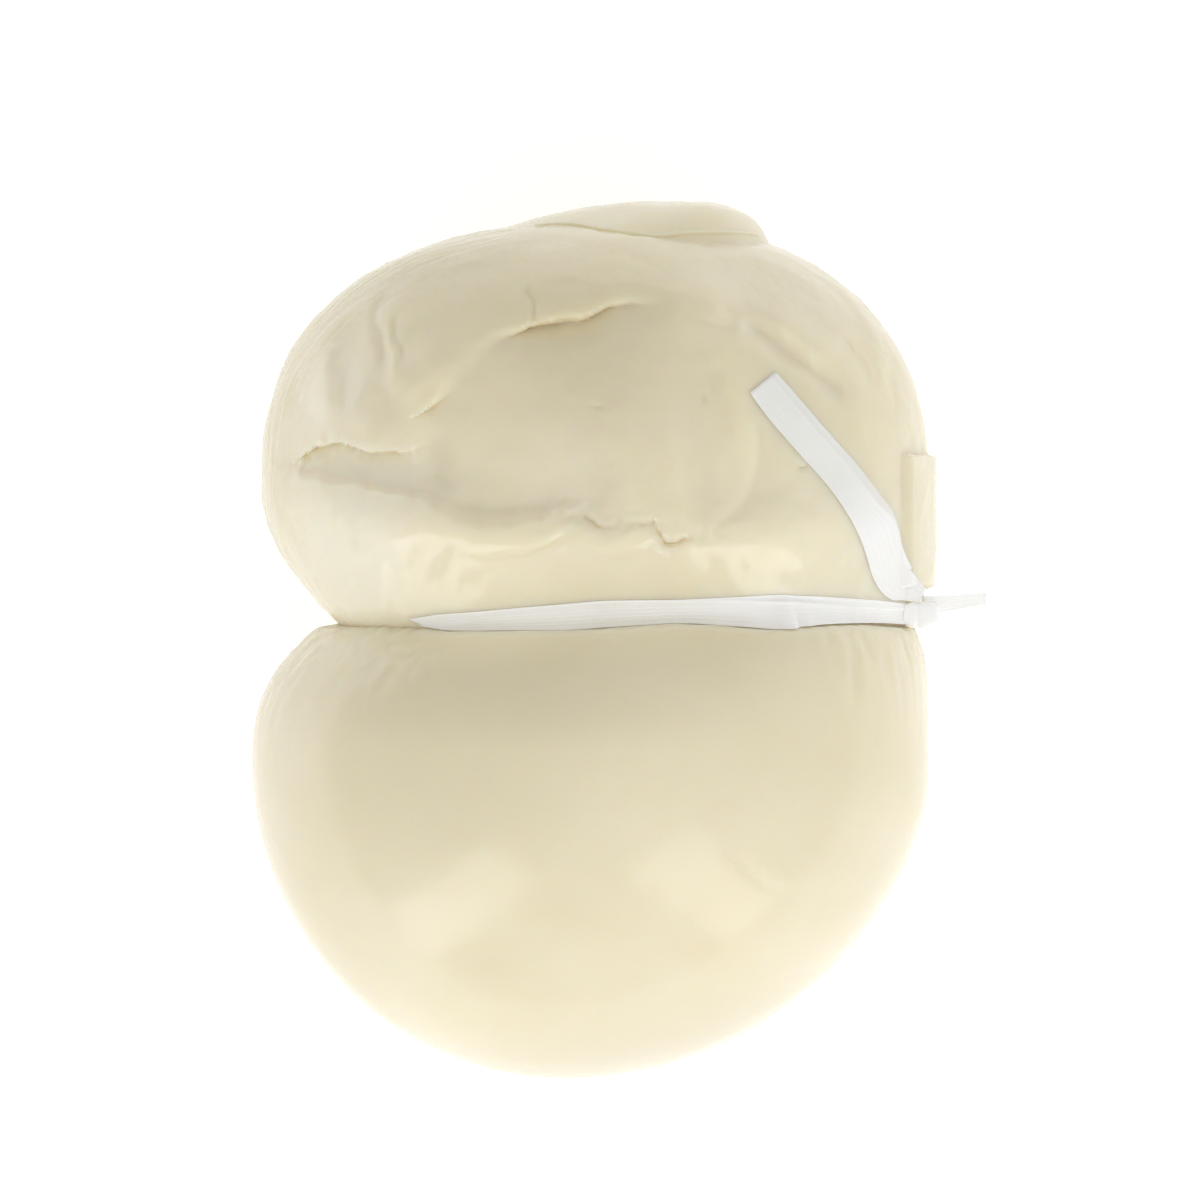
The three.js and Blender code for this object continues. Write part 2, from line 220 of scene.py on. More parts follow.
# Cracks and wrinkles in the skin: a line in X and Y, and the depth and width of the groove. A depth under 0
# is a ridge. Both ends fade over some widths, but over no more than a share of the run.
GROOVE_END = {"widths": 3, "most": 0.35}
GROOVES = [
    {"line": [(-10.2, 35.5), (-9.4, 37), (-9.7, 38.4), (-10.9, 39.6)], "depth": 0.4, "width": 0.3},
    {
        "line": [(-26, 39.6), (-27.3, 37), (-27.4, 35.3), (-26.5, 32.8), (-26.2, 29)],
        "depth": 0.65,
        "width": 0.7,
    },
    {"line": [(-26.4, 37.5), (-25.8, 33.5), (-24.8, 29.5)], "depth": -0.5, "width": 0.8},
    {"line": [(-25.6, 37), (-25.1, 33.6), (-23.9, 30.7)], "depth": 0.35, "width": 0.5},
    {"line": [(-33.4, 36), (-33.6, 32), (-33.2, 28), (-33, 22.9)], "depth": -0.8, "width": 1.2},
    {"line": [(-29.4, 38), (-30.4, 34), (-30.6, 29), (-30, 25)], "depth": 0.5, "width": 1.4},
    {"line": [(-36.2, 38), (-37.2, 31), (-36.8, 25)], "depth": 0.3, "width": 1},
    {"line": [(-21.5, 43.5), (-24.4, 41), (-26.4, 38.6)], "depth": 0.3, "width": 0.9},
    {"line": [(-22.2, 25), (-20.6, 22), (-20.2, 18.5), (-20.4, 16)], "depth": 0.8, "width": 1.8},
    {"line": [(19.8, 19.6), (20.7, 19.3), (21.6, 19.4)], "depth": 0.4, "width": 0.3},
    {"line": [(-4.6, 14.4), (-3.5, 13.5), (-2.4, 12.6), (-1.8, 12.4)], "depth": 0.4, "width": 0.3},
    {"line": [(3.4, 13.9), (4.1, 12.4), (5.2, 10.8), (6.6, 10.6), (7.6, 11.6)], "depth": 0.4, "width": 0.3},
    {
        "line": [(-34, 15), (-26, 12.4), (-16, 11.4), (-4, 11), (8, 10.8), (18, 11.6), (26, 13)],
        "depth": -1.3,
        "width": 4.5,
    },
    {"line": [(-4, 18), (4, 19), (10, 20)], "depth": -1.4, "width": 8},
    {"line": [(-26.5, 27), (-22.5, 29.5), (-18.5, 33)], "depth": -1.2, "width": 2.8},
    {"line": [(-42, 17.5), (-38, 16.5), (-31, 14.5), (-23, 13.5), (-15, 13)], "depth": -1.9, "width": 5},
    {"line": [(6, 12), (13, 12), (22, 12.4), (31, 14), (36, 15)], "depth": -1.2, "width": 4},
    {"line": [(-36, 25), (-31.5, 26.5), (-26.5, 25)], "depth": -0.8, "width": 3},
    {"line": [(-3.5, 26.3), (-2.4, 25.8), (-1.4, 26.1)], "depth": 0.25, "width": 0.3},
    {"line": [(9, 28.2), (9.6, 27.2), (9.4, 26)], "depth": 0.25, "width": 0.3},
    {"line": [(9.5, 37.5), (12, 32), (13.8, 26), (14.2, 20)], "depth": -0.8, "width": 1.8},
    {"line": [(5, 41), (9.5, 38.5), (13, 36)], "depth": -1, "width": 3.2},
    {
        "line": [(13.5, 35.4), (16.1, 34.5), (18.4, 32.8), (22.9, 29.4), (26, 26.4)],
        "depth": 1.2,
        "width": 1.2,
    },
    {"line": [(16, 37), (20.6, 34.4), (26, 29.8)], "depth": -0.6, "width": 1.8},
    {"line": [(28, 36.5), (29.6, 33), (30.4, 29)], "depth": -0.35, "width": 0.7},
    {"line": [(24.4, 34.2), (27.4, 31), (29, 27.4)], "depth": 0.3, "width": 0.6},
    {"line": [(8.5, 36), (11, 35.2), (13.5, 34.8)], "depth": 0.25, "width": 0.4},
]

BODY_GROOVES = [
    {"line": [(12.4, -24), (17, -28), (21.5, -29.1), (30.6, -30.9)], "depth": 0.07, "width": 0.5},
    {"line": [(25.4, -32.6), (24.6, -35.4), (23.6, -38)], "depth": 0.15, "width": 0.4},
]

# A thin rim of skin in front of the flap. Its radius follows the root of a sine, which starts a small angle
# from each end so that the ends are blunt.
RIM = {
    "line": [(-9.5, 46.9), (-5.5, 47), (-1, 46.2), (4.1, 45.6), (7.6, 45.9), (13.8, 46), (15.8, 45.7)],
    "radius": 0.35,
    "blunt": 0.05,
    "sides": 10,
}

# A pad of curd pressed flat against the right side of the head: its lowest and highest Y, the X and Z where
# it starts, how far it stands out, and the width of its edges
PAD = {"low": 6, "high": 20.6, "inner": 32.3, "back": 22, "proud": 1, "edge": 0.35}

SHARP = 42  # edges of the skin that turn by more degrees than this are crisp
BLOCK = 100  # the depth, and half the width, of the block that cuts the cheese flat where it lies

# Slow waves in the skin, as height and length
WAVES = {
    "head": [(0.25, 8), (0.1, 2.6), (0.04, 1)],
    "body": [(0.2, 16), (0.05, 4)],
    "flap": [(0.3, 8), (0.1, 2.6)],
}

# Fine pleats in the skin: their height, width and length. Those at the neck die away over the reach from the
# Y of the tie, with none nearer to the middle than the bare X. Those of the head run along its left outline,
# where they grow from one share of the way out to the other, and are whole from a share of the way to the
# left.
NECK_PLEATS = {
    "head": 0.05,
    "body": 0.3,
    "width": 1.1,
    "length": 12,
    "tie": 2,
    "reach": 9,
    "bare": 14,
    "full": 24,
}
RIM_PLEATS = {"height": 0.1, "width": 0.6, "length": 10, "from": 0.82, "to": 0.95, "left": 0.4}

# Painted light and shade: places where the skin's colour is made paler, as painted light on the head above
# the tie and at its left, or darker, as painted shade in the hollow, at the top left of the head and on the
# body, with the distances in which the tint is whole and gone
PAINTED_LIGHT_AND_SHADE_SPOTS = [
    {"centre": (-29, 10.5, 50), "whole": 4, "gone": 17, "colour": (0.93, 0.87, 0.7)},
    {"centre": (-18, 45, 40), "whole": 4, "gone": 17, "colour": (0.76, 0.69, 0.49)},
    {"centre": (-4, 33, 52), "whole": 5, "gone": 16, "colour": (0.79, 0.715, 0.515)},
    {"centre": (23, 10, 50), "whole": 4, "gone": 15, "colour": (0.9, 0.83, 0.64)},
    {"centre": (-17, -10, 60), "whole": 6, "gone": 24, "colour": (0.8, 0.73, 0.53)},
    {"centre": (3, -48, 34), "whole": 8, "gone": 28, "colour": (0.76, 0.69, 0.51)},
    {"centre": (-14, 6, 54), "whole": 3, "gone": 13, "colour": (0.9, 0.825, 0.625)},
    {"centre": (-33, 27, 46), "whole": 2, "gone": 10, "colour": (0.91, 0.84, 0.67)},
]

# The skin's finish: a slow mottle between two colours, light that spreads under it, and a fine grain
SKIN = {
    "mottle": {"scale": 60, "detail": 3},
    "dark": {"share": 0.35, "colour": (0.83, 0.755, 0.545)},
    "light": {"share": 0.65, "colour": (0.86, 0.79, 0.60)},
    "roughness": 0.18,
    "spread": {"weight": 0.7, "radius": (1, 0.75, 0.45), "scale": 0.003},
    "grain": {"scale": 900, "detail": 4, "strength": 0.15, "height": 0.0002},
}

# Driving values of the ribbon

NECK = {"x": 1.3, "y": 1.8, "z": 32, "steps": 300}  # the middle of the band's loop, and the steps round it
# Each point of the band gives X and the Y of its lower edge, of its crease and of its upper edge. On the
# left it goes into the fold between the lobes.
BAND_EDGES = [
    (-25.4, 1.8, 1.9, 2),
    (-22.7, 1.5, 2.2, 2.3),
    (-19.7, 1, 2.6, 2.75),
    (-15.6, 0.95, 2.9, 3.05),
    (-10.6, 1, 3.3, 3.5),
    (-6.1, 1, 3.7, 3.9),
    (-1.5, 1.3, 4.1, 4.3),
    (3, 1.6, 4.2, 4.4),
    (7, 1.8, 4.2, 4.45),
    (12.7, 1.45, 4.3, 4.75),
    (17.2, 1.1, 4.2, 5),
    (19.5, 1.4, 4.1, 4.9),
    (22.9, 1.7, 3.85, 4.75),
    (28.6, 1.8, 3.5, 4.35),
    (31.5, 1.65, 3.4, 4),
]
BAND = {"thickness": 0.2, "lift": 0.06, "slack": 7}  # it bridges hollows over that many steps to each side
CREASE = {"height": 0.14, "width": 0.25, "layer": 0.12}  # above the rolled crease, it lies a layer deeper
LOOSE_EDGE = {"from": 13, "to": 22, "height": 0.8}  # the lower edge stands off, more from one X to the next
SINK = {"from": -22, "to": -25, "depth": 0.7}  # the band lies deeper to the left
# The body is drawn in under the band, from some way below the band's lower edge to some way above it.
TIE = {"below": 0.5, "above": 0.1, "depth": 2.2}
# The knot is a ball with flattened sides, at an angle round the neck, with a pinch across it.
KNOT = {
    "angle": 10,
    "y": 2.7,
    "out": 1.7,
    "half": (2.1, 1.5, 1.9),
    "power": 4,
    "grid": {"across": 48, "along": 48, "back": 24, "crowding": 1},
}
KNOT_FOLD = {"x": -0.5, "depth": 0.09, "width": 0.3}
# Each point of the long end, from its tip to the knot, gives X, Y and half the width there. Near the tip,
# its right edge is a single layer.
LONG_END = [
    (16.2, 28.9, 1.9),
    (18.4, 26.2, 2.05),
    (21.6, 22.5, 2.05),
    (25.1, 18.6, 2.05),
    (27.3, 15.7, 2.15),
    (29.1, 12.9, 2.35),
    (30, 10, 2.15),
    (30.7, 8, 2.25),
    (31.6, 6.5, 2.2),
    (32.6, 5.9, 1.7),
    (34.4, 4.9, 0.8),
]
LONG_END_LIFT = 0.1  # its upper face stands this much over the skin
LONG_END_LOW = 39  # it passes over the knot no lower than this
LAYER = 0.1  # the upper layer of the long end stands this much over the lower one
# How far to the right the upper layer reaches at the tip, as a share of half the width, and the shares of
# the run where it starts to widen and is whole
FOLDED = {"at_tip": 0.62, "from": 0.42, "whole": 0.56}
SHORT_END = {
    "tip": 41.6,
    "from": 1,
    "rise": 0.9,
    "half_width": 1.1,
    "at_tip": 0.65,
    "thickness": 0.4,
    "steps": 12,
}
RIBS = {"count": 7, "height": 0.02}
SELVEDGE = {"from": 0.86, "height": 0.08}  # the raised edges, from this share of half the width
ACROSS = 44  # points across a strip
SHARES = np.linspace(-1, 1, ACROSS)  # places across a strip

# A place where the ribbon is painted duller and greyer, as painted shade on the long end
DULL_PAINTED_SHADE_SPOTS = [{"centre": (21, 23, 54), "whole": 7, "gone": 15, "colour": (0.83, 0.83, 0.79)}]

# The film's finish: a fine mottle, light that spreads in it, and a painted glow, given off evenly, in place
# of light that it lets through from below
FILM = {
    "mottle": 250,
    "roughness": 0.35,
    "spread": {"weight": 0.3, "radius": (1, 1, 1), "scale": 0.001},
    "glow": {"strength": 0.1, "colour": (1, 0.98, 0.94)},
}
WHITE = {"dark": (0.92, 0.92, 0.90), "light": (0.97, 0.97, 0.96)}
SINGLE_LAYER = {"dark": (0.84, 0.82, 0.74), "light": (0.88, 0.86, 0.79)}

# Driving values of the stage

# The camera looks straight down on this point in X and Y, and sees this width at the silhouette's height.
PHOTO_CENTRE = (-2.1, 4.4)
PHOTO_WIDTH = 136.36
SILHOUETTE_HEIGHT = 30
LENS = 600
SENSOR = 36
VIEW_END = 20  # the camera sees this many metres far
# Two long lamps, each between two directions from the cheese, with sizes in metres
SOFTBOX = {"distance": 1, "width": 0.32, "power": 1.75}
SOFTBOX_ENDS = {
    "softbox_left": ((-0.69, -0.72, 0.03), (-0.33, -0.57, 0.75)),
    "softbox_right": ((0.66, -0.75, 0.05), (0.32, -0.52, 0.79)),
}
FLOOR = {"half_width": 4000, "colour": (0.9, 0.9, 0.9), "roughness": 0.9, "glow": 0.4}
WORLD = {"level": 0.435, "slope": (0.1, -0.005, 0.41)}  # the light from all round, brighter from above

MIX = {"share": 0, "first": 6, "second": 7, "result": 2}  # sockets of a Mix node that mixes colours


# Helpers


def smoothstep(value, low, high):
    share = np.clip((value - low) / (high - low), 0, 1)
    return share * share * (3 - 2 * share)


def smooth_line(points):
    """A line through the points with straight steps between them, bent as a Catmull-Rom curve."""
    points = np.array(points, float)
    padded = np.vstack([2 * points[0] - points[1], points, 2 * points[-1] - points[-2]])
    t = (np.arange(LINE_STEPS) / LINE_STEPS)[:, None]
    parts = []
    for i in range(len(padded) - 3):
        a, b, c, d = padded[i : i + 4]
        parts.append(b + 0.5 * t * (c - a + t * (2 * a - 5 * b + 4 * c - d + t * (3 * (b - c) + d - a))))
    return np.vstack([*parts, padded[-2:-1]])


def near_line(spots, line):
    """For each spot, the distance from a line in X and Y, the same with no kinks where two stretches are as
    near, the line's own values there, of which the nearest count most, the share of the way along, the
    direction to the spot, and 1 to the left of the line's run and 0 to the right, which change into each
    other beyond its ends."""
    start = line[:-1, :2]
    step = np.diff(line[:, :2], axis=0)
    length_squared = (step**2).sum(1)
    found = []
    values = []
    for at in range(0, len(spots), CHUNK):
        offset = spots[at : at + CHUNK, None, :] - start
        share = np.clip((offset * step).sum(2) / length_squared, 0, 1)
        gap = offset - share[:, :, None] * step
        distance = np.sqrt((gap**2).sum(2))
        nearest = distance.argmin(1)
        rows = np.arange(len(nearest))
        weights = np.sqrt(length_squared) / (distance + LINE_BLUR) ** 3
        values.append(weights @ line[1:, 2:] / weights.sum(1)[:, None])
        soft = np.sqrt(2 / weights.sum(1))
        shortest = distance[rows, nearest]
        found.append(np.column_stack([shortest, soft, nearest, share[rows, nearest], gap[rows, nearest]]))
    away, soft, nearest, share, *gap = np.vstack(found).T
    nearest = nearest.astype(int)
    along = (nearest + share) / len(step)
    outward = np.column_stack(gap) / np.maximum(away, TINY)[:, None]
    across = step[nearest, 0] * outward[:, 1] - step[nearest, 1] * outward[:, 0]
    left = smoothstep(across / np.sqrt(length_squared[nearest]), -1, 1)
    return away, soft, np.vstack(values), along, outward, left


def waves(points, height, length, offset=0):
    """Smooth random heights, the same on each run."""
    return np.array([height * noise.noise(Vector(p) / length + Vector((offset,) * 3)) for p in points])


def mesh_object(name, points, faces, material):
    mesh = bpy.data.meshes.new(name)
    mesh.from_pydata((np.asarray(points) * MM).tolist(), [], faces)
    mesh.materials.append(material)
    mesh.shade_smooth()
    piece = bpy.data.objects.new(name, mesh)
    bpy.context.scene.collection.objects.link(piece)
    return piece


def loop_object(name, loops, material, closed=False):
    """A skin over a row of loops of points, which is joined to its own start or shut at both ends."""
    count, around = loops.shape[:2]
    index = np.arange(count * around).reshape(-1, around)
    following = np.roll(index, -1, 0) if closed else index[1:]
    index = index if closed else index[:-1]
    quads = np.stack([index, following, np.roll(following, -1, 1), np.roll(index, -1, 1)], axis=-1)
    faces = quads.reshape(-1, 4).tolist()
    if not closed:
        faces += [list(range(around)), list(range(count * around - around, count * around))[::-1]]
    return mesh_object(name, loops.reshape(-1, 3), faces, material)


# Lobes


def ball_grid(across, along, back, crowding):
    """Directions over a unit ball and its faces: a square grid pressed into the front half, which stands
    closer together at the front for a crowding over 1, and rings from its rim to the middle of the back."""
    u, v = np.meshgrid(np.linspace(-1, 1, across + 1), np.linspace(-1, 1, along + 1))
    disc = np.stack([u * np.sqrt(1 - v * v / 2), v * np.sqrt(1 - u * u / 2)], axis=-1).reshape(-1, 2)
    out = np.maximum(np.hypot(*disc.T), TINY)
    polar = math.pi / 2 * np.minimum(out, 1) ** crowding
    front = np.column_stack([disc / out[:, None] * np.sin(polar)[:, None], np.cos(polar)])
    index = np.arange(len(front)).reshape(along + 1, across + 1)
    quads = np.stack([index[:-1, :-1], index[:-1, 1:], index[1:, 1:], index[1:, :-1]], axis=-1)
    faces = quads.reshape(-1, 4).tolist()
    rim = np.concatenate([index[0, :-1], index[:-1, -1], index[-1, :0:-1], index[:0:-1, 0]])
    around = np.arctan2(front[rim, 1], front[rim, 0])
    rings = []
    outer = rim
    for i in range(1, back):
        polar = math.pi / 2 * (1 + i / back)
        radius = math.sin(polar)
        height = np.full(len(rim), math.cos(polar))
        rings.append(np.column_stack([np.cos(around) * radius, np.sin(around) * radius, height]))
        inner = len(front) + (i - 1) * len(rim) + np.arange(len(rim))
        faces += np.stack([outer, inner, np.roll(inner, -1), np.roll(outer, -1)], axis=-1).tolist()
        outer = inner
    directions = np.vstack([front, *rings, [[0, 0, -1]]])
    pole = len(directions) - 1
    faces += [(int(a), pole, int(b)) for a, b in zip(outer, np.roll(outer, -1))]
    return directions, faces


def lobe_points(lobe, directions):
    """The points of a lobe's skin in directions of its unit ball."""
    x, y, z = directions.T
    sideways = x * x
    upright = z * z + TINY

    def mixed(power):
        side = np.where(x < 0, power["left"], power["right"])
        face = np.where(z < 0, power["back"], power["front"])
        return (sideways * side + upright * face) / (sideways + upright)

    far = mixed(lobe["far_power"])
    neck = mixed(lobe["neck_power"])
    between = np.where((x < 0) & (z > 0), 4 * sideways * upright / (sideways + upright) ** 2, 0)
    neck = neck + lobe["corner"] * between
    power = far + (neck - far) * smoothstep(y * lobe["neck_side"], -NECK_BLEND, NECK_BLEND)
    norm = (np.hypot(x, z) ** power + np.abs(y) ** power) ** (1 / power)
    ball = directions / norm[:, None]
    reach = lobe["reach"]
    stretch = np.column_stack(
        [
            np.where(x < 0, reach["left"], reach["right"]),
            np.where(y * lobe["neck_side"] > 0, reach["neck"], reach["far"]),
            np.where(z < 0, reach["back"], reach["front"]),
        ]
    )
    points = np.array(lobe["centre"]) + ball * stretch
    points[:, 0] += lobe["lean"] * np.maximum(0, -ball[:, 1] * lobe["neck_side"]) ** 2
    return points


def add_waves(points, directions, sizes):
    points += directions * sum(waves(points, height, length) for height, length in sizes)[:, None]


# Relief of the head's front


def die_away(distance, reach):
    """From 1 to 0 over a distance, with no kink at its start."""
    return np.exp(-((distance / reach) ** 2))


def fold_relief(spots, fold):
    """How far a fold moves the skin, in X, Y and Z."""
    line = smooth_line(fold["points"])
    share = np.linspace(0, 1, len(line))
    line[:, 2:4] *= (smoothstep(share, 0, FOLD_END) * smoothstep(1 - share, 0, FOLD_END))[:, None]
    away, soft, values, _, outward, left = near_line(spots, line)
    rise, dip, roll, hang = values.T
    turn = np.clip(away / roll, 0, 1)
    wall = -dip + (rise + dip) * smoothstep(turn, 0, 1 - hang)
    behind = rise * die_away(np.maximum(away - roll, 0), fold["rise_reach"])
    under = -dip * np.exp(-np.maximum(soft - LINE_BLUR, 0) / fold["dip_reach"])
    height = left * np.where(away < roll, wall, behind) + (1 - left) * under
    size = np.clip((rise + dip) / FULL_FOLD, 0, 1)
    shift = -hang * roll * np.sin(math.pi * turn) * size * left
    return np.column_stack([outward * shift[:, None], height])


def groove_relief(spots, groove):
    line = smooth_line(groove["line"])
    length = np.linalg.norm(np.diff(line, axis=0), axis=1).sum()
    end = min(GROOVE_END["most"], GROOVE_END["widths"] * groove["width"] / length)
    away, _, _, along, _, _ = near_line(spots, line)
    ends = smoothstep(along, 0, end) * smoothstep(1 - along, 0, end)
    return -ends * groove["depth"] * die_away(away, groove["width"])


def pad_height(points):
    x, y, z = points.T
    edge = PAD["edge"]
    above = smoothstep(y, PAD["low"] - edge, PAD["low"])
    within = above * (1 - smoothstep(y, PAD["high"], PAD["high"] + edge))
    sideways = smoothstep(x, PAD["inner"] - edge, PAD["inner"])
    return PAD["proud"] * within * sideways * smoothstep(z, PAD["back"] - edge, PAD["back"] + edge)


def ragged(points):
    """Small wanderings in X and Y, which keep the edges of the folds from being smooth."""
    moves = [waves(points, RAGGED["reach"], RAGGED["length"], start) for start in RAGGED["starts"]]
    return np.column_stack(moves)


def slopes(points, across, along):
    """How much the front of a lobe's skin rises for each millimetre in X and Y."""
    rows = points[: (across + 1) * (along + 1)].reshape(along + 1, across + 1, 3)
    normals = np.cross(np.gradient(rows, axis=1), np.gradient(rows, axis=0)).reshape(-1, 3)
    steep = np.zeros((len(points), 2))
    steep[: len(normals)] = -normals[:, :2] / np.maximum(normals[:, 2:], TINY)
    return np.clip(steep, -STEEPEST, STEEPEST)


def shape_head(points, directions):
    """Adds waves, pleats and the pad, and then the folds, grooves and crumbs of the front."""
    slope = slopes(points, HEAD["grid"]["across"], HEAD["grid"]["along"])
    add_waves(points, directions, WAVES["head"])
    pleats = neck_pleats(points, NECK_PLEATS["head"]) + rim_pleats(points, directions)
    points += directions * pleats[:, None]
    points[:, 0] += pad_height(points)
    fade = smoothstep(directions[:, 2], FRONT_FADE["none"], FRONT_FADE["full"])
    front = fade > 0
    spots = points[front, :2] + ragged(points[front])
    move = sum(fold_relief(spots, fold) for fold in FOLDS.values())
    move[:, 2] += (move[:, :2] * slope[front]).sum(1)
    move[:, 2] += sum(groove_relief(spots, groove) for groove in GROOVES)
    for name in CRUMBS["folds"]:
        away = near_line(spots, smooth_line(FOLDS[name]["points"]))[0]
        crumbs = waves(points[front], CRUMBS["height"], CRUMBS["length"])
        move[:, 2] += crumbs * die_away(away, CRUMBS["reach"])
    points[front] += move * fade[front, None]


def neck_pleats(points, height):
    """Pleats that run away from the tie, with none in the middle of the front."""
    size = NECK_PLEATS
    stretched = points / (size["width"], size["length"], size["width"])
    near = die_away(points[:, 1] - size["tie"], size["reach"])
    return waves(stretched, height, 1) * near * smoothstep(np.abs(points[:, 0]), size["bare"], size["full"])


def rim_pleats(points, directions):
    """Pleats along the left outline of the head."""
    size = RIM_PLEATS
    out = np.hypot(directions[:, 0], directions[:, 1])
    around = np.arctan2(directions[:, 1], directions[:, 0]) * HEAD["reach"]["left"]
    depth = HEAD["reach"]["front"] * np.arccos(np.clip(directions[:, 2], -1, 1))
    flat = np.column_stack([around / size["length"], depth / size["width"], np.zeros(len(points))])
    there = smoothstep(out, size["from"], size["to"]) * smoothstep(-directions[:, 0], 0, size["left"])
    return waves(flat, 1, 1) * size["height"] * there


def draw_in(points):
    """Draws the body in under the band."""
    low = band_edges(points[:, 0])[0]
    outward = points[:, [0, 2]] - (NECK["x"], NECK["z"])
    share = smoothstep(points[:, 1], low - TIE["below"], low + TIE["above"])
    points[:, [0, 2]] -= outward / np.linalg.norm(outward, axis=1)[:, None] * (TIE["depth"] * share)[:, None]


def shape_body(points, directions):
    add_waves(points, directions, WAVES["body"])
    points += directions * neck_pleats(points, NECK_PLEATS["body"])[:, None]
    draw_in(points)
    front = directions[:, 2] > 0
    points[front, 2] += sum(groove_relief(points[front, :2], groove) for groove in BODY_GROOVES)


def shape_flap(points, directions):
    add_waves(points, directions, WAVES["flap"])


# Places on the skin


def skin_of(piece):
    places = [vertex.co for vertex in piece.data.vertices]
    return BVHTree.FromPolygons(places, [polygon.vertices for polygon in piece.data.polygons])


def distance_in(skin, start, direction):
    hit = skin.ray_cast(Vector(start) * MM, Vector(direction))
    return hit[3] / MM if hit[0] else FAR_OUT


def skin_height(skin, x, y):
    return FAR_OUT - distance_in(skin, (x, y, FAR_OUT), (0, 0, -1))


def neck_radius(skin, angle, y):
    outward = np.array([math.cos(angle), 0, math.sin(angle)])
    start = np.array([NECK["x"], y, NECK["z"]]) + outward * FAR_OUT
    return FAR_OUT - distance_in(skin, start, -outward)


# The cheese


def lobe_object(name, lobe, shape, material):
    directions, faces = ball_grid(**lobe["grid"])
    points = lobe_points(lobe, directions)
    shape(points, directions)
    return mesh_object(name, points, faces, material)


def combine(piece, tool, operation):
    """Joins the tool to the piece or cuts it away, and deletes the tool."""
    change = piece.modifiers.new("combine", "BOOLEAN")
    change.object = tool
    change.operation = operation
    change.solver = "MANIFOLD"
    whole = bpy.data.meshes.new_from_object(piece.evaluated_get(bpy.context.evaluated_depsgraph_get()))
    piece.modifiers.clear()
    piece.data = whole
    bpy.data.objects.remove(tool)


def make_rim(skin, material):
    """A round rim that lies on the skin and gets thinner to its ends."""
    line = smooth_line(RIM["line"])
    middles = np.array([(x, y, skin_height(skin, x, y)) for x, y in line])
    run = np.gradient(middles, axis=0)
    sideways = np.cross(run, (0, 0, 1))
    sideways /= np.linalg.norm(sideways, axis=1)[:, None]
    up = np.cross(sideways, run)
    up /= np.linalg.norm(up, axis=1)[:, None]
    radius = RIM["radius"] * np.sqrt(np.sin(np.linspace(RIM["blunt"], math.pi - RIM["blunt"], len(line))))
    turn = 2 * math.pi * np.arange(RIM["sides"]) / RIM["sides"]
    ring = sideways[:, None] * np.cos(turn)[:, None] + up[:, None] * np.sin(turn)[:, None]
    loops = middles[:, None] + ring * radius[:, None, None]
    return loop_object("rim", loops, material)


def below_floor(material):
    """A block under the surface that the cheese lies on."""
    corners = [(x, y, z) for z in (-BLOCK, 0) for y in (-BLOCK, BLOCK) for x in (-BLOCK, BLOCK)]
    sides = [(0, 2, 3, 1), (4, 5, 7, 6), (0, 1, 5, 4), (1, 3, 7, 5), (3, 2, 6, 7), (2, 0, 4, 6)]
    return mesh_object("below_floor", corners, sides, material)


def make_cheese(material):
    cheese = lobe_object("scamorza_cheese", HEAD, shape_head, material)
    combine(cheese, lobe_object("body", BODY, shape_body, material), "UNION")
    combine(cheese, lobe_object("flap", FLAP, shape_flap, material), "UNION")
    combine(cheese, make_rim(skin_of(cheese), material), "UNION")
    combine(cheese, below_floor(material), "DIFFERENCE")
    cheese.data.set_sharp_from_angle(angle=math.radians(SHARP))
    return cheese


# The ribbon


def strip(name, centres, sideways, up, half_widths, heights, thickness, material, closed=False):
    """A flat strip along a line of points. The heights of its upper face are given for each point and place
    across."""
    flat = centres[:, None] + (half_widths[:, None] * SHARES)[..., None] * sideways[:, None]
    upper = flat + heights[..., None] * up[:, None]
    lower = upper - thickness * up[:, None]
    return loop_object(name, np.concatenate([upper, lower[:, ::-1]], axis=1), material, closed)


def weave():
    """Heights across the ribbon: fine ribs and raised edges."""
    edges = SELVEDGE["height"] * smoothstep(np.abs(SHARES), SELVEDGE["from"], 1)
    return RIBS["height"] * np.cos(math.pi * RIBS["count"] * SHARES) + edges


def taut(radii):
    """Radii round the loop with the hollows bridged over some steps."""
    steps = range(-BAND["slack"], BAND["slack"] + 1)
    return np.maximum(radii, np.mean([np.roll(radii, step) for step in steps], axis=0))


def band_edges(x):
    """The Y of the band's lower edge, its crease and its upper edge at some places in X."""
    line = smooth_line(BAND_EDGES)
    return [np.interp(x, line[:, 0], line[:, column]) for column in (1, 2, 3)]


def make_band(skin, material):
    """The loop round the neck, with a rolled crease and, at the right, a loose lower edge."""
    count = NECK["steps"]
    angles = 2 * math.pi * np.arange(count) / count
    radii = np.array([neck_radius(skin, angle, NECK["y"]) for angle in angles])
    x = NECK["x"] + radii * np.cos(angles)
    low, crease, high = band_edges(x)
    share = (SHARES + 1) / 2
    places = high[:, None] + (low - high)[:, None] * share
    under = np.array([[neck_radius(skin, angle, y) for y in row] for angle, row in zip(angles, places)])
    lift = BAND["lift"] - SINK["depth"] * smoothstep(x, SINK["from"], SINK["to"])
    flat = taut(under[:, 0])[:, None] * (1 - share) + taut(under[:, -1])[:, None] * share
    rolled = CREASE["height"] * die_away(places - crease[:, None], CREASE["width"])
    deeper = CREASE["layer"] * smoothstep(places - crease[:, None], 0, CREASE["width"])
    loose = LOOSE_EDGE["height"] * smoothstep(x, LOOSE_EDGE["from"], LOOSE_EDGE["to"])[:, None] * share**3
    heights = np.maximum(flat + loose, under + deeper) + lift[:, None] + weave() + rolled - deeper
    centres = np.column_stack([np.full(count, NECK["x"]), (low + high) / 2, np.full(count, NECK["z"])])
    sideways = np.tile((0, -1, 0), (count, 1))
    up = np.column_stack([np.cos(angles), np.zeros(count), np.sin(angles)])
    half = (high - low) / 2
    thickness = BAND["thickness"]
    return strip("ribbon_band", centres, sideways, up, half, heights, thickness, material, closed=True)


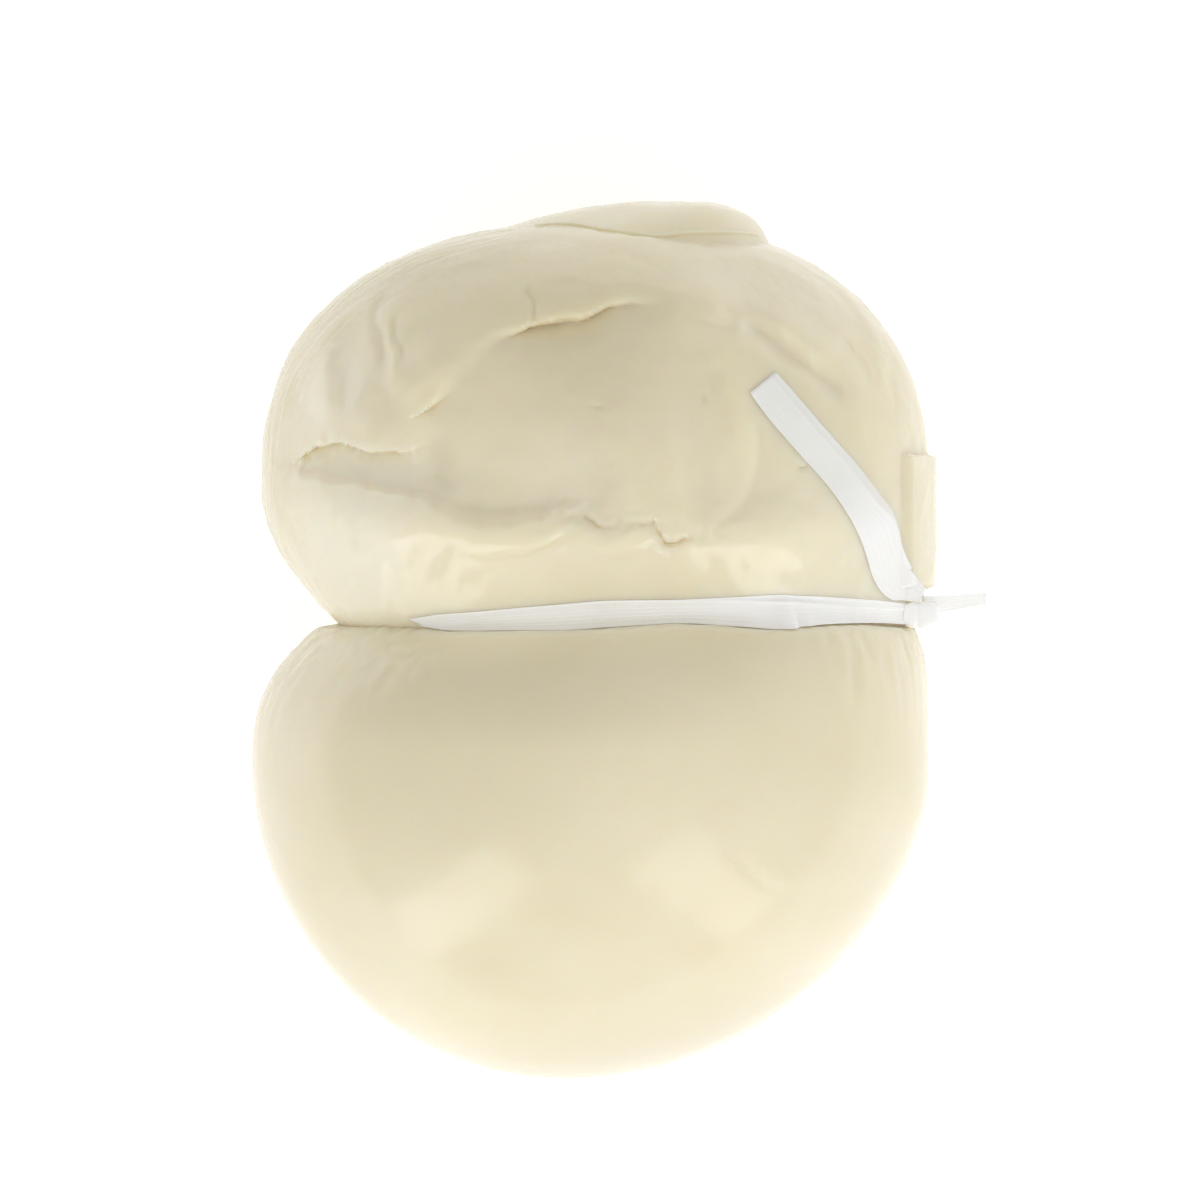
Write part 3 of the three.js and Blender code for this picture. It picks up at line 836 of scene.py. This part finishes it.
def make_long_end(skin, white, thin):
    """The lower layer at full width, and the upper one, which leaves the lower one's right edge bare near
    the tip."""
    line = smooth_line(LONG_END)
    count = len(line)
    run = np.gradient(line[:, :2], axis=0)
    run /= np.linalg.norm(run, axis=1)[:, None]
    sideways = np.column_stack([-run[:, 1], run[:, 0], np.zeros(count)])
    up = np.tile((0, 0, 1), (count, 1))
    centres = np.column_stack([line[:, :2], np.zeros(count)])
    half = line[:, 2]

    def draped(middles, halves, lift):
        spots = middles[:, None] + (halves[:, None] * SHARES)[..., None] * sideways[:, None]
        heights = [[max(skin_height(skin, x, y), LONG_END_LOW) for x, y, _ in row] for row in spots]
        return np.array(heights) + lift + weave()

    lower = draped(centres, half, LONG_END_LIFT)
    share = np.linspace(0, 1, count)
    grown = smoothstep(share, FOLDED["from"], FOLDED["whole"])
    reach = FOLDED["at_tip"] + (1 - FOLDED["at_tip"]) * grown
    middles = centres + sideways * (half * (reach - 1) / 2)[:, None]
    halves = half * (reach + 1) / 2
    upper = draped(middles, halves, LONG_END_LIFT + LAYER)
    return [
        strip("ribbon_long_end", centres, sideways, up, half, lower, BAND["thickness"], thin),
        strip("ribbon_long_end_fold", middles, sideways, up, halves, upper, BAND["thickness"], white),
    ]


def make_knot(skin, material):
    """The place of the knot's middle, and the knot."""
    angle = math.radians(KNOT["angle"])
    radius = neck_radius(skin, angle, KNOT["y"]) + KNOT["out"]
    x = NECK["x"] + radius * math.cos(angle)
    z = NECK["z"] + radius * math.sin(angle)
    middle = np.array([x, KNOT["y"], z])
    directions, faces = ball_grid(**KNOT["grid"])
    norm = (np.abs(directions) ** KNOT["power"]).sum(1) ** (1 / KNOT["power"])
    points = directions / norm[:, None] * KNOT["half"]
    pinch = KNOT_FOLD["depth"] * die_away(points[:, 0] - KNOT_FOLD["x"], KNOT_FOLD["width"])
    points[:, 1:] *= 1 - pinch[:, None]
    return middle, mesh_object("ribbon_knot", middle + points, faces, material)


def make_short_end(middle, material):
    share = np.linspace(0, 1, SHORT_END["steps"])
    x = middle[0] + (SHORT_END["tip"] - middle[0]) * share
    y = middle[1] + SHORT_END["from"] + SHORT_END["rise"] * share
    centres = np.column_stack([x, y, np.full(len(share), middle[2])])
    sideways = np.tile((0, 1, 0), (len(share), 1))
    up = np.tile((0, 0, 1), (len(share), 1))
    half = SHORT_END["half_width"] + (SHORT_END["at_tip"] - SHORT_END["half_width"]) * share
    heights = np.tile(weave(), (len(share), 1))
    return strip("ribbon_short_end", centres, sideways, up, half, heights, SHORT_END["thickness"], material)


# Materials


def new_material(name):
    material = bpy.data.materials.new(name)
    material.use_nodes = True
    nodes = material.node_tree.nodes
    return material, nodes, material.node_tree.links, nodes["Principled BSDF"]


def mix_painted_light_and_shade(nodes, links, place, colour, spots):
    """The colour with the painted light and shade of some spots mixed in."""
    for spot in spots:
        away = nodes.new("ShaderNodeVectorMath")
        away.operation = "DISTANCE"
        away.inputs[1].default_value = Vector(spot["centre"]) * MM
        links.new(place.outputs["Object"], away.inputs[0])
        share = nodes.new("ShaderNodeMapRange")
        share.interpolation_type = "SMOOTHSTEP"
        share.inputs["From Min"].default_value = spot["gone"] * MM
        share.inputs["From Max"].default_value = spot["whole"] * MM
        links.new(away.outputs["Value"], share.inputs["Value"])
        mix = nodes.new("ShaderNodeMix")
        mix.data_type = "RGBA"
        mix.inputs[MIX["second"]].default_value = (*spot["colour"], 1)
        links.new(share.outputs["Result"], mix.inputs[MIX["share"]])
        links.new(colour, mix.inputs[MIX["first"]])
        colour = mix.outputs[MIX["result"]]
    return colour


def spread_light(shader, spread):
    """Lets light spread under the surface."""
    shader.inputs["Subsurface Weight"].default_value = spread["weight"]
    shader.inputs["Subsurface Radius"].default_value = spread["radius"]
    shader.inputs["Subsurface Scale"].default_value = spread["scale"]


def cheese_material():
    material, nodes, links, shader = new_material("scamorza_skin")
    place = nodes.new("ShaderNodeTexCoord")
    mottle = nodes.new("ShaderNodeTexNoise")
    mottle.inputs["Scale"].default_value = SKIN["mottle"]["scale"]
    mottle.inputs["Detail"].default_value = SKIN["mottle"]["detail"]
    links.new(place.outputs["Object"], mottle.inputs["Vector"])
    tint = nodes.new("ShaderNodeValToRGB")
    for element, shade in zip(tint.color_ramp.elements, (SKIN["dark"], SKIN["light"])):
        element.position = shade["share"]
        element.color = (*shade["colour"], 1)
    links.new(mottle.outputs["Fac"], tint.inputs["Fac"])
    # Painted light and shade: paler and darker spots of colour where light and shade fall on the skin
    colour = mix_painted_light_and_shade(nodes, links, place, tint.outputs["Color"], PAINTED_LIGHT_AND_SHADE_SPOTS)
    links.new(colour, shader.inputs["Base Color"])
    shader.inputs["Roughness"].default_value = SKIN["roughness"]
    spread_light(shader, SKIN["spread"])
    grain = nodes.new("ShaderNodeTexNoise")
    grain.inputs["Scale"].default_value = SKIN["grain"]["scale"]
    grain.inputs["Detail"].default_value = SKIN["grain"]["detail"]
    links.new(place.outputs["Object"], grain.inputs["Vector"])
    bump = nodes.new("ShaderNodeBump")
    bump.inputs["Strength"].default_value = SKIN["grain"]["strength"]
    bump.inputs["Distance"].default_value = SKIN["grain"]["height"]
    links.new(grain.outputs["Fac"], bump.inputs["Height"])
    links.new(bump.outputs["Normal"], shader.inputs["Normal"])
    return material


def ribbon_material(name, dark, light):
    material, nodes, links, shader = new_material(name)
    place = nodes.new("ShaderNodeTexCoord")
    mottle = nodes.new("ShaderNodeTexNoise")
    mottle.inputs["Scale"].default_value = FILM["mottle"]
    links.new(place.outputs["Object"], mottle.inputs["Vector"])
    tint = nodes.new("ShaderNodeValToRGB")
    tint.color_ramp.elements[0].color = (*dark, 1)
    tint.color_ramp.elements[1].color = (*light, 1)
    links.new(mottle.outputs["Fac"], tint.inputs["Fac"])
    # Painted shade: the long end made duller and greyer
    colour = mix_painted_light_and_shade(nodes, links, place, tint.outputs["Color"], DULL_PAINTED_SHADE_SPOTS)
    links.new(colour, shader.inputs["Base Color"])
    shader.inputs["Roughness"].default_value = FILM["roughness"]
    spread_light(shader, FILM["spread"])
    # Painted light: the film glows evenly, in place of light let through from the cheese below
    shader.inputs["Emission Color"].default_value = (*FILM["glow"]["colour"], 1)
    shader.inputs["Emission Strength"].default_value = FILM["glow"]["strength"]
    return material


# Stage


def make_camera():
    data = bpy.data.cameras.new("camera")
    data.lens = LENS
    data.sensor_width = SENSOR
    data.clip_end = VIEW_END
    camera = bpy.data.objects.new("camera", data)
    distance = PHOTO_WIDTH * LENS / SENSOR
    camera.location = Vector((*PHOTO_CENTRE, SILHOUETTE_HEIGHT + distance)) * MM
    bpy.context.scene.collection.objects.link(camera)
    bpy.context.scene.camera = camera


def make_floor():
    material, _, _, shader = new_material("floor_white")
    shader.inputs["Base Color"].default_value = (*FLOOR["colour"], 1)
    shader.inputs["Roughness"].default_value = FLOOR["roughness"]
    shader.inputs["Emission Color"].default_value = (1, 1, 1, 1)
    shader.inputs["Emission Strength"].default_value = FLOOR["glow"]
    size = FLOOR["half_width"]
    corners = [(-size, -size, 0), (size, -size, 0), (size, size, 0), (-size, size, 0)]
    floor = mesh_object("floor", corners, [(0, 1, 2, 3)], material)


def make_softbox(name, low_end, high_end):
    """A long lamp at one distance from the cheese, between two directions."""
    low, high = (Vector(end).normalized() * SOFTBOX["distance"] for end in (low_end, high_end))
    data = bpy.data.lights.new(name, "AREA")
    data.shape = "RECTANGLE"
    data.size = SOFTBOX["width"]
    data.size_y = (high - low).length
    data.energy = SOFTBOX["power"]
    light = bpy.data.objects.new(name, data)
    towards = ((low + high) / 2).normalized()
    along = (high - low).normalized()
    light.location = (low + high) / 2 + Vector((0, 0, SILHOUETTE_HEIGHT * MM))
    light.rotation_euler = Matrix((along.cross(towards), along, towards)).transposed().to_euler()
    light.visible_camera = False
    bpy.context.scene.collection.objects.link(light)


def make_world():
    world = bpy.data.worlds.new("studio")
    bpy.context.scene.world = world
    world.use_nodes = True
    nodes = world.node_tree.nodes
    links = world.node_tree.links
    background = nodes["Background"]
    background.inputs["Color"].default_value = (1, 1, 1, 1)
    place = nodes.new("ShaderNodeTexCoord")
    brighter = nodes.new("ShaderNodeVectorMath")
    brighter.operation = "DOT_PRODUCT"
    brighter.inputs[1].default_value = WORLD["slope"]
    links.new(place.outputs["Generated"], brighter.inputs[0])
    total = nodes.new("ShaderNodeMath")
    total.operation = "ADD"
    total.inputs[1].default_value = WORLD["level"]
    links.new(brighter.outputs["Value"], total.inputs[0])
    links.new(total.outputs["Value"], background.inputs["Strength"])


make_camera()
make_world()
make_floor()
for name, ends in SOFTBOX_ENDS.items():
    make_softbox(name, *ends)
bpy.context.scene.view_settings.view_transform = "Standard"

cheese = make_cheese(cheese_material())
skin = skin_of(cheese)
white = ribbon_material("ribbon_white", **WHITE)
thin = ribbon_material("ribbon_single_layer", **SINGLE_LAYER)
band = make_band(skin, white)
knot_middle, knot = make_knot(skin, white)
ribbon = [band, *make_long_end(skin, white, thin), knot, make_short_end(knot_middle, white)]

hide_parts("cheese")
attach(cheese, "root")
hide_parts("ribbon")
for piece in ribbon:
    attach(piece, "root")
